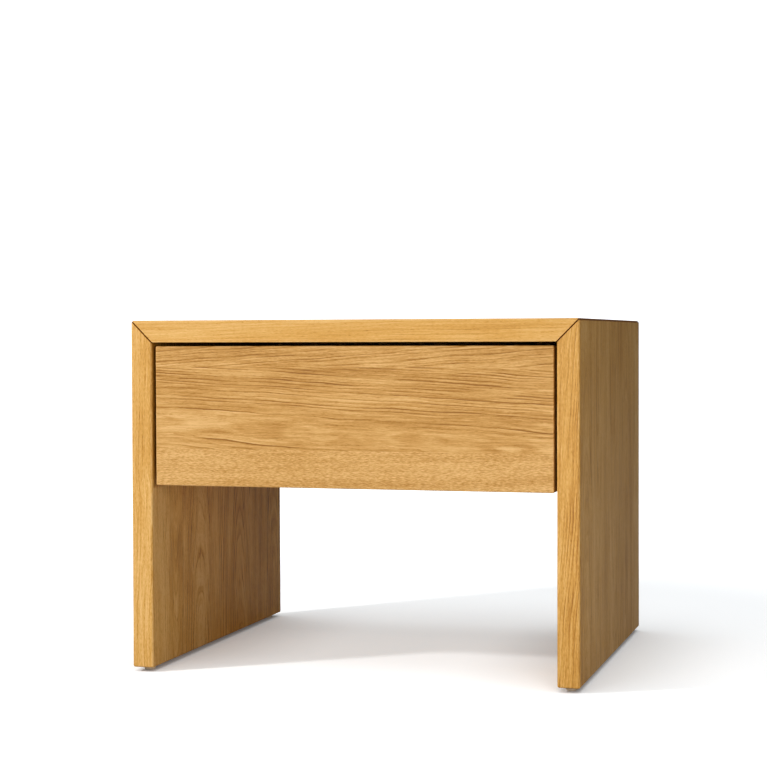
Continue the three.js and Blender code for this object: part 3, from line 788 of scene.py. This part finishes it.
def hardware(steel, cage_plastic, clip_plastic, lever_plastic, bright_steel):
    """The ball cages, the screws and the release clips."""
    for hand, towards in (("left", 1), ("right", -1)):
        for level in ("lower", "upper"):
            ball_cage(f"{hand}_{level}_ball_cage", cage_plastic, bright_steel)
        for place in ("front", "middle", "rear"):
            screw(f"{hand}_runner_screw_{place}", X, towards, "cabinet", steel)
        for height in ("lower", "upper"):
            screw(f"front_screw_{hand}_{height}", Y, 1, "drawer", steel)
        screw(f"{hand}_clip_screw", Y, 1, "drawer", steel)
        put(from_cad(f"{hand}_clip_housing", 0.5 * MM, 3), "drawer", "clip_plastic", clip_plastic,
            f"{hand}_clip_housing")
        put(from_cad(f"{hand}_release_lever", 0.6 * MM, 3), f"{hand}_release_lever",
            "lever_plastic", lever_plastic, f"{hand}_release_lever")
        put(from_cad(f"{hand}_lever_pin", SMALL_EDGE), "drawer", "steel", bright_steel,
            f"{hand}_lever_pin")


def dress_cad_nodes(materials):
    """Gives every CAD node that still shows the material of its slot in the record."""
    slots = {part["node"]: part["material_slot"] for part in frame["record"]["subparts"]}
    for name, node in NODES.items():
        if not node.hide_render:
            node.data.materials.clear()
            node.data.materials.append(materials[slots[name]])


# --- Studio

def studio_floor():
    """A white sweep that looks blown out, as in a product studio, but throws back less light. To
    the camera it glows a little, less close to the object, and more and more up to 1.3 m off."""
    white, dull, glow, far_glow = 0.9, 0.62, 0.525, 0.6
    near, far, contact = 600, 1300, 0.15
    graph = Graph("white_floor")
    rays = graph.tree.nodes.new("ShaderNodeLightPath")
    seen = rays.outputs["Is Camera Ray"]
    colour = graph.tree.nodes.new("ShaderNodeCombineColor")
    for socket in colour.inputs:
        graph.feed(socket, graph.scaled(seen, white - dull, dull))
    graph.shader.inputs["Emission Color"].default_value = (0.95, 0.985, 1.0, 1.0)
    # Painted shade: the glow is weaker close to the object, as a painted contact shadow.
    shade = graph.tree.nodes.new("ShaderNodeAmbientOcclusion")
    shade.inputs["Distance"].default_value = contact
    x, y, z = graph.millimetres()
    away = graph.math("SQRT", graph.add(graph.math("MULTIPLY", x, x), graph.math("MULTIPLY", y, y)))
    strength = graph.add(graph.scaled(shade.outputs["AO"], glow),
                         graph.scaled(graph.step(away, near, far), far_glow))
    graph.feed(graph.shader.inputs["Emission Strength"], graph.math("MULTIPLY", seen, strength))
    graph.finish(colour.outputs[0], 0.9, Specular_IOR_Level=0.0)
    half = 8.0
    corners = [(x * half, y * half, 0.0) for x, y in ((-1, -1), (1, -1), (1, 1), (-1, 1))]
    floor = mesh_object("studio_floor", lambda shape: shape.faces.new(
        [shape.verts.new(corner) for corner in corners]))
    floor.data.materials.append(graph.material)


def studio_world(fill, behind, turn_right, backdrop):
    """The camera sees a white backdrop. The object gets a weak fill, most of it from the front and
    somewhat from the right."""
    world = bpy.data.worlds.new("studio")
    bpy.context.scene.world = world
    world.use_nodes = True
    nodes, links = world.node_tree.nodes, world.node_tree.links
    direction = nodes.new("ShaderNodeTexCoord")
    split = nodes.new("ShaderNodeSeparateXYZ")
    links.new(direction.outputs["Generated"], split.inputs[0])
    front = nodes.new("ShaderNodeMapRange")
    front.interpolation_type = "SMOOTHSTEP"
    front.inputs["From Min"].default_value = 0.5
    front.inputs["From Max"].default_value = -0.9
    front.inputs["To Min"].default_value = behind
    front.inputs["To Max"].default_value = fill
    towards = nodes.new("ShaderNodeMath")
    towards.operation = "MULTIPLY_ADD"
    towards.inputs[1].default_value = -turn_right
    links.new(split.outputs["X"], towards.inputs[0])
    links.new(split.outputs["Y"], towards.inputs[2])
    links.new(towards.outputs[0], front.inputs["Value"])
    rays = nodes.new("ShaderNodeLightPath")
    strength = nodes.new("ShaderNodeMix")
    links.new(rays.outputs["Is Camera Ray"], strength.inputs[0])
    links.new(front.outputs["Result"], strength.inputs[2])
    strength.inputs[3].default_value = backdrop
    background = nodes["Background"]
    background.inputs["Color"].default_value = (0.94, 0.99, 1.08, 1.0)
    links.new(strength.outputs[0], background.inputs["Strength"])


def soft_light(name, towards, strength, width):
    """A broad light from far off in that direction, so the floor is lit evenly to the horizon."""
    light = bpy.data.lights.new(name, "SUN")
    light.energy = strength
    light.angle = math.radians(width)
    lamp = new_object(name, light)
    lamp.rotation_euler = Vector(towards).to_track_quat("Z", "Y").to_euler()


def near_softbox(name, at, target, width, watts):
    """A square light near the object. The narrower it is, the sharper are its shadows."""
    light = bpy.data.lights.new(name, "AREA")
    light.size = width
    light.energy = watts
    lamp = new_object(name, light)
    lamp.location = at
    lamp.rotation_euler = (Vector(at) - Vector(target)).to_track_quat("Z", "Y").to_euler()
    lamp.visible_camera = False


def camera():
    """The view from the right of the front, a little below the height of the top."""
    yaw, pitch, roll = (math.radians(a) for a in (16.04, -1.458, -0.196))
    place = Vector((0.5949, -2.1467, 0.3807))
    turn = (Matrix.Rotation(yaw, 3, "Z") @ Matrix.Rotation(math.pi / 2 + pitch, 3, "X")
            @ Matrix.Rotation(roll, 3, "Z"))
    data = bpy.data.cameras.new("camera")
    data.sensor_width = 36.0
    data.lens = 86.21
    eye = new_object("camera", data)
    eye.matrix_world = Matrix.Translation(place) @ turn.to_4x4()
    bpy.context.scene.camera = eye


def studio():
    """A small key light from the front left, and soft fills from above, the front and the right."""
    middle, between_the_sides = (0.0, 0.0, 0.2), (-0.1, 0.0, 0.15)
    studio_floor()
    studio_world(fill=0.2, behind=0.07, turn_right=0.45, backdrop=1.5)
    near_softbox("key", (-1.4, -1.1, 1.1), middle, width=0.12, watts=19.5)
    soft_light("top", towards=(0.0, -0.1, 1.0), strength=1.1, width=60)
    near_softbox("front_softbox", (-0.3, -1.4, 0.35), middle, width=0.5, watts=2.0)
    near_softbox("right_softbox", (0.52, -1.05, 0.3), between_the_sides, width=0.4, watts=3.4)
    bpy.context.scene.view_settings.view_transform = "Standard"


# --- Everything

camera()
studio()
steel = zinc_steel()
glide_plastic = moulded("glide_plastic", from_srgb(222, 198, 164), from_srgb(238, 218, 188))
frame_panels()
thin_panels()
drawer_front()
drawer_box()
glides(glide_plastic)
rails(steel)
hardware(
    steel=steel,
    bright_steel=ball_steel(),
    cage_plastic=moulded("cage_plastic", (0.66, 0.65, 0.6), (0.8, 0.79, 0.75)),
    clip_plastic=moulded("clip_plastic", (0.06, 0.065, 0.07), (0.11, 0.115, 0.12)),
    lever_plastic=moulded("lever_plastic", (0.22, 0.16, 0.11), (0.32, 0.25, 0.18)),
)
dress_cad_nodes({"beech": beech(), "steel": steel})
